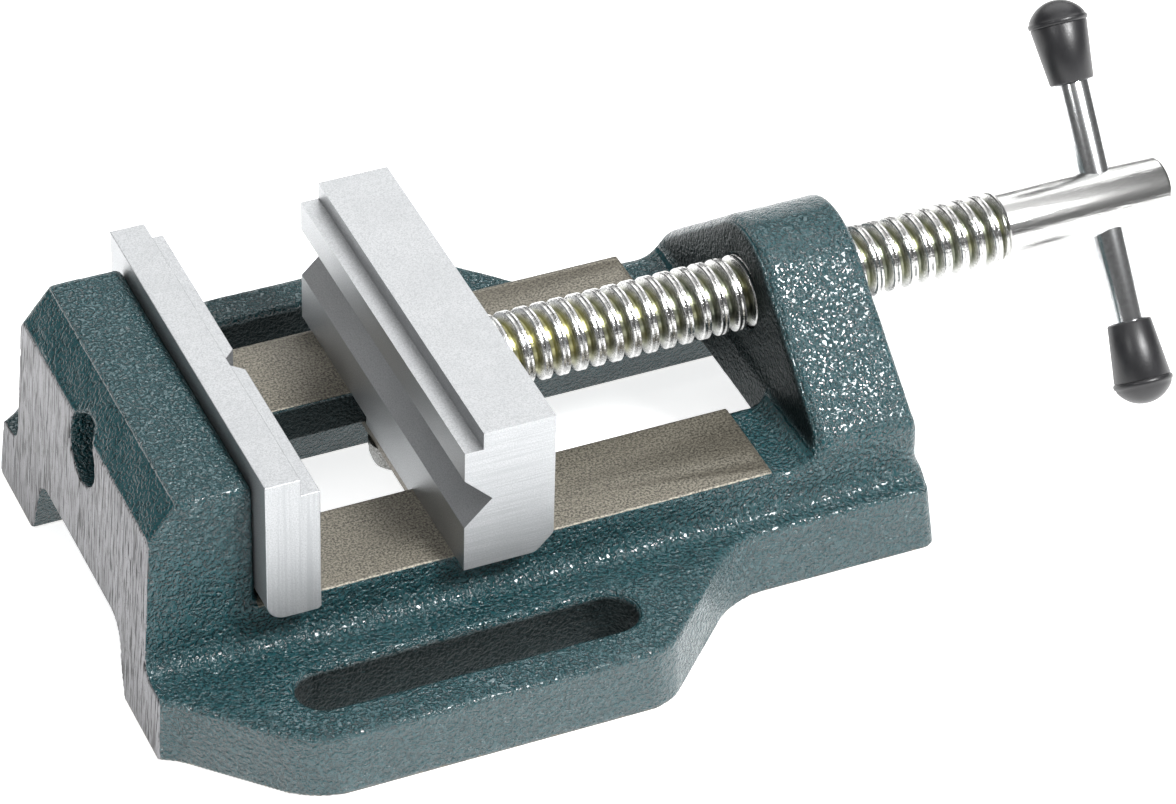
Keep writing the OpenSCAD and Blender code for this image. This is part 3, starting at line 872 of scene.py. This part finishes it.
def studio():
    """A sky that brightens overhead, three soft lamps and the pale floor."""
    world = bpy.data.worlds.new("studio")
    world.use_nodes = True
    background = world.node_tree.nodes["Background"]
    background.inputs["Color"].default_value = rgb(1, 1, 1)
    tree = world.node_tree
    place = tree.nodes.new("ShaderNodeTexCoord")
    split = tree.nodes.new("ShaderNodeSeparateXYZ")
    glow = tree.nodes.new("ShaderNodeMapRange")
    glow.interpolation_type = "SMOOTHSTEP"
    for socket, number in zip(list(glow.inputs)[1:5], (0.74, 0.98, 0.12, 1.3)):
        socket.default_value = number
    tree.links.new(place.outputs["Generated"], split.inputs[0])
    tree.links.new(split.outputs["Z"], glow.inputs[0])
    tree.links.new(glow.outputs[0], background.inputs["Strength"])
    bpy.context.scene.world = world
    area_light("key", (0.50, -0.77, 1.20), (0, 0, 0.03), (0.40, 0.40), 32)
    area_light("back", (0.56, 1.45, 1.24), (0, 0, 0.03), (2.2, 1.4), 20)
    area_light("left", (-1.2, -0.45, 1.35), (0, 0, 0.03), (0.28, 0.28), 6)

    floor = bpy.data.meshes.new("floor")
    reach = 4.0
    floor.from_pydata(
        [(-reach, -reach, 0), (reach, -reach, 0), (reach, reach, 0), (-reach, reach, 0)], [], [(0, 1, 2, 3)]
    )
    g = Graph("floor")
    tone = g.mix(g.noise(300.0), rgb(0.80, 0.80, 0.80), rgb(0.83, 0.83, 0.83))
    floor.materials.append(g.finish(
        Base_Color=tone, Roughness=0.9, Emission_Color=rgb(1, 1, 1), Emission_Strength=0.8
    ))
    ground = bpy.data.objects.new("floor", floor)
    ground.location.z = -0.0002
    bpy.context.scene.collection.objects.link(ground)


# azimuth, elevation and roll in degrees, lens in millimetres, place in metres
VIEW_ANGLES = (-24.56, 38.5, 1.67)
LENS = 159.8
EYE = (-0.3059, -0.7797, 0.7029)


def camera():
    """Stands where the object is seen from its left front, from above."""
    azimuth, elevation, roll = (math.radians(a) for a in VIEW_ANGLES)
    back = Vector((
        math.sin(azimuth) * math.cos(elevation),
        -math.cos(azimuth) * math.cos(elevation),
        math.sin(elevation),
    ))
    level = Vector((math.cos(azimuth), math.sin(azimuth), 0))
    upright = back.cross(level)
    right = level * math.cos(roll) + upright * math.sin(roll)
    up = upright * math.cos(roll) - level * math.sin(roll)
    data = bpy.data.cameras.new("camera")
    data.sensor_width = 36.0
    data.lens = LENS
    data.clip_end = 20
    eye = bpy.data.objects.new("camera", data)
    turned = Matrix((right, up, back)).transposed().to_4x4()
    eye.matrix_world = Matrix.Translation(EYE) @ turned
    bpy.context.scene.collection.objects.link(eye)
    bpy.context.scene.camera = eye


# ---- the object ----

camera()
studio()
bpy.context.scene.view_settings.view_transform = "Standard"

raw_steel = steel("raw_steel", (0.34, 0.31, 0.27), (0.16, 0.145, 0.125), 0.45)
zinc = steel("zinc_bolt", (0.38, 0.38, 0.37), (0.16, 0.16, 0.15), 0.28)
black = steel("black_oxide", (0.075, 0.075, 0.08), (0.025, 0.025, 0.028), 0.38)
chrome = steel("bar_chrome", (0.84, 0.85, 0.86), (0.64, 0.65, 0.66), 0.20, 1.2, 0.006)
cap = rubber()
JAW_BRIGHT = (0.51, 0.52, 0.53)
fixed_steel = steel("fixed_jaw_steel", JAW_BRIGHT, (0.37, 0.38, 0.39), 0.46, 0.30, 0.05, 0.8, 2)
moving_steel = steel("moving_jaw_steel", JAW_BRIGHT, (0.38, 0.39, 0.40), 0.44, 0.30, 0.05, 0.45, 0)

make_casting(enamel_casting())
# node, material and bevel width in millimetres
BEVELLED = (
    ("fixed_jaw", fixed_steel, 0.35),
    ("moving_jaw", moving_steel, 0.35),
    ("fixed_jaw_screw_front", black, 0.2),
    ("fixed_jaw_screw_back", black, 0.2),
    ("keeper_plate", raw_steel, 0.25),
    ("keeper_bolt_front", zinc, 0.25),
    ("keeper_bolt_back", zinc, 0.25),
    ("lock_washer_front", zinc, 0.15),
    ("lock_washer_back", zinc, 0.15),
    ("retaining_pin_front", raw_steel, 0.12),
    ("retaining_pin_back", raw_steel, 0.12),
    ("thrust_washer", raw_steel, 0.2),
    ("spindle_grub_screw", black, 0.12),
)
for node_name, look, width in BEVELLED:
    break_edges(node_name, look, width)
make_spindle(thread_plating())
make_bar(chrome)
make_cap("tbar_cap_upper", 1, cap)
make_cap("tbar_cap_lower", -1, cap)
make_spring(raw_steel)
ball = frame["nodes"]["friction_ball"]
ball.data.materials.clear()
ball.data.materials.append(raw_steel)
